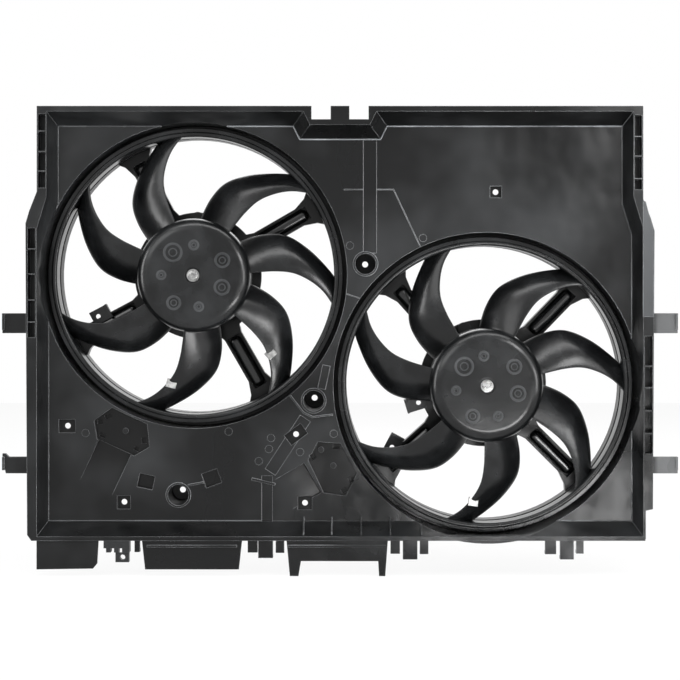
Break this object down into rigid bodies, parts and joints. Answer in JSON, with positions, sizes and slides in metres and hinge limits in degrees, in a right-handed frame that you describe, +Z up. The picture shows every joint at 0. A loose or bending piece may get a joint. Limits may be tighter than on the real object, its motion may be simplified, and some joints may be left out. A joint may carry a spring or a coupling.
{
  "type": "radiator fan assembly",
  "caption": "Moulded radiator fan shroud with two banded sickle-blade fans, each on its own electric motor held by a four-arm bracket.",
  "frame": {"origin": "On the axis of the centre bolt hole, at the front face of the bottom of its cup", "axes": "+X runs right as seen from the radiator, +Z runs up, +Y runs back towards the engine"},
  "size_m": [0.814, 0.1055, 0.565],
  "materials": {
    "black_polypropylene": "moulded black, satin",
    "fan_polyamide": "glass-filled black nylon, semi-gloss",
    "black_nylon": "moulded black",
    "grey_trim": "dark grey moulded strip",
    "painted_steel": "black e-coat on pressed steel",
    "bearing_steel": "ground steel",
    "core_steel": "laminated steel",
    "zinc_plated_steel": "bright zinc",
    "spring_steel": "strip steel",
    "copper": "enamelled copper",
    "ferrite": "sintered ferrite",
    "carbon": "pressed carbon",
    "phenolic": "brown phenolic board"
  },
  "bodies": {
    "shroud_assembly": {"shroud": "black_polypropylene", "side_cover": "grey_trim", "wiring_clip": "black_nylon", "fan_ducts": "black_polypropylene", "motor_brackets": "black_polypropylene", "motor_cans": "painted_steel", "motor_end_covers": "painted_steel", "motor_screws": "zinc_plated_steel", "connector_sockets": "black_nylon", "wire_guides": "black_nylon", "magnets": "ferrite", "front_bearings": "bearing_steel", "rear_bearings": "bearing_steel", "brush_plates": "phenolic", "brushes": "carbon", "brush_springs": "spring_steel"},
    "left_rotor": {"left_fan": "fan_polyamide", "left_hub_insert": "bearing_steel", "left_fan_screw": "zinc_plated_steel", "left_balance_clips": "zinc_plated_steel", "left_motor_shaft": "bearing_steel", "left_armature_core": "core_steel", "left_windings": "copper", "left_commutator": "copper"},
    "right_rotor": {"right_fan": "fan_polyamide", "right_hub_insert": "bearing_steel", "right_fan_screw": "zinc_plated_steel", "right_balance_clips": "zinc_plated_steel", "right_motor_shaft": "bearing_steel", "right_armature_core": "core_steel", "right_windings": "copper", "right_commutator": "copper"}
  },
  "joints": [
    {"name": "left_fan_spin", "type": "hinge", "parent": "shroud_assembly", "child": "left_rotor", "pos_m": [-0.2084, -0.022, -0.0142], "axis": [0, 1, 0], "continuous": true},
    {"name": "right_fan_spin", "type": "hinge", "parent": "shroud_assembly", "child": "right_rotor", "pos_m": [0.1466, -0.022, -0.1477], "axis": [0, 1, 0], "continuous": true}
  ]
}
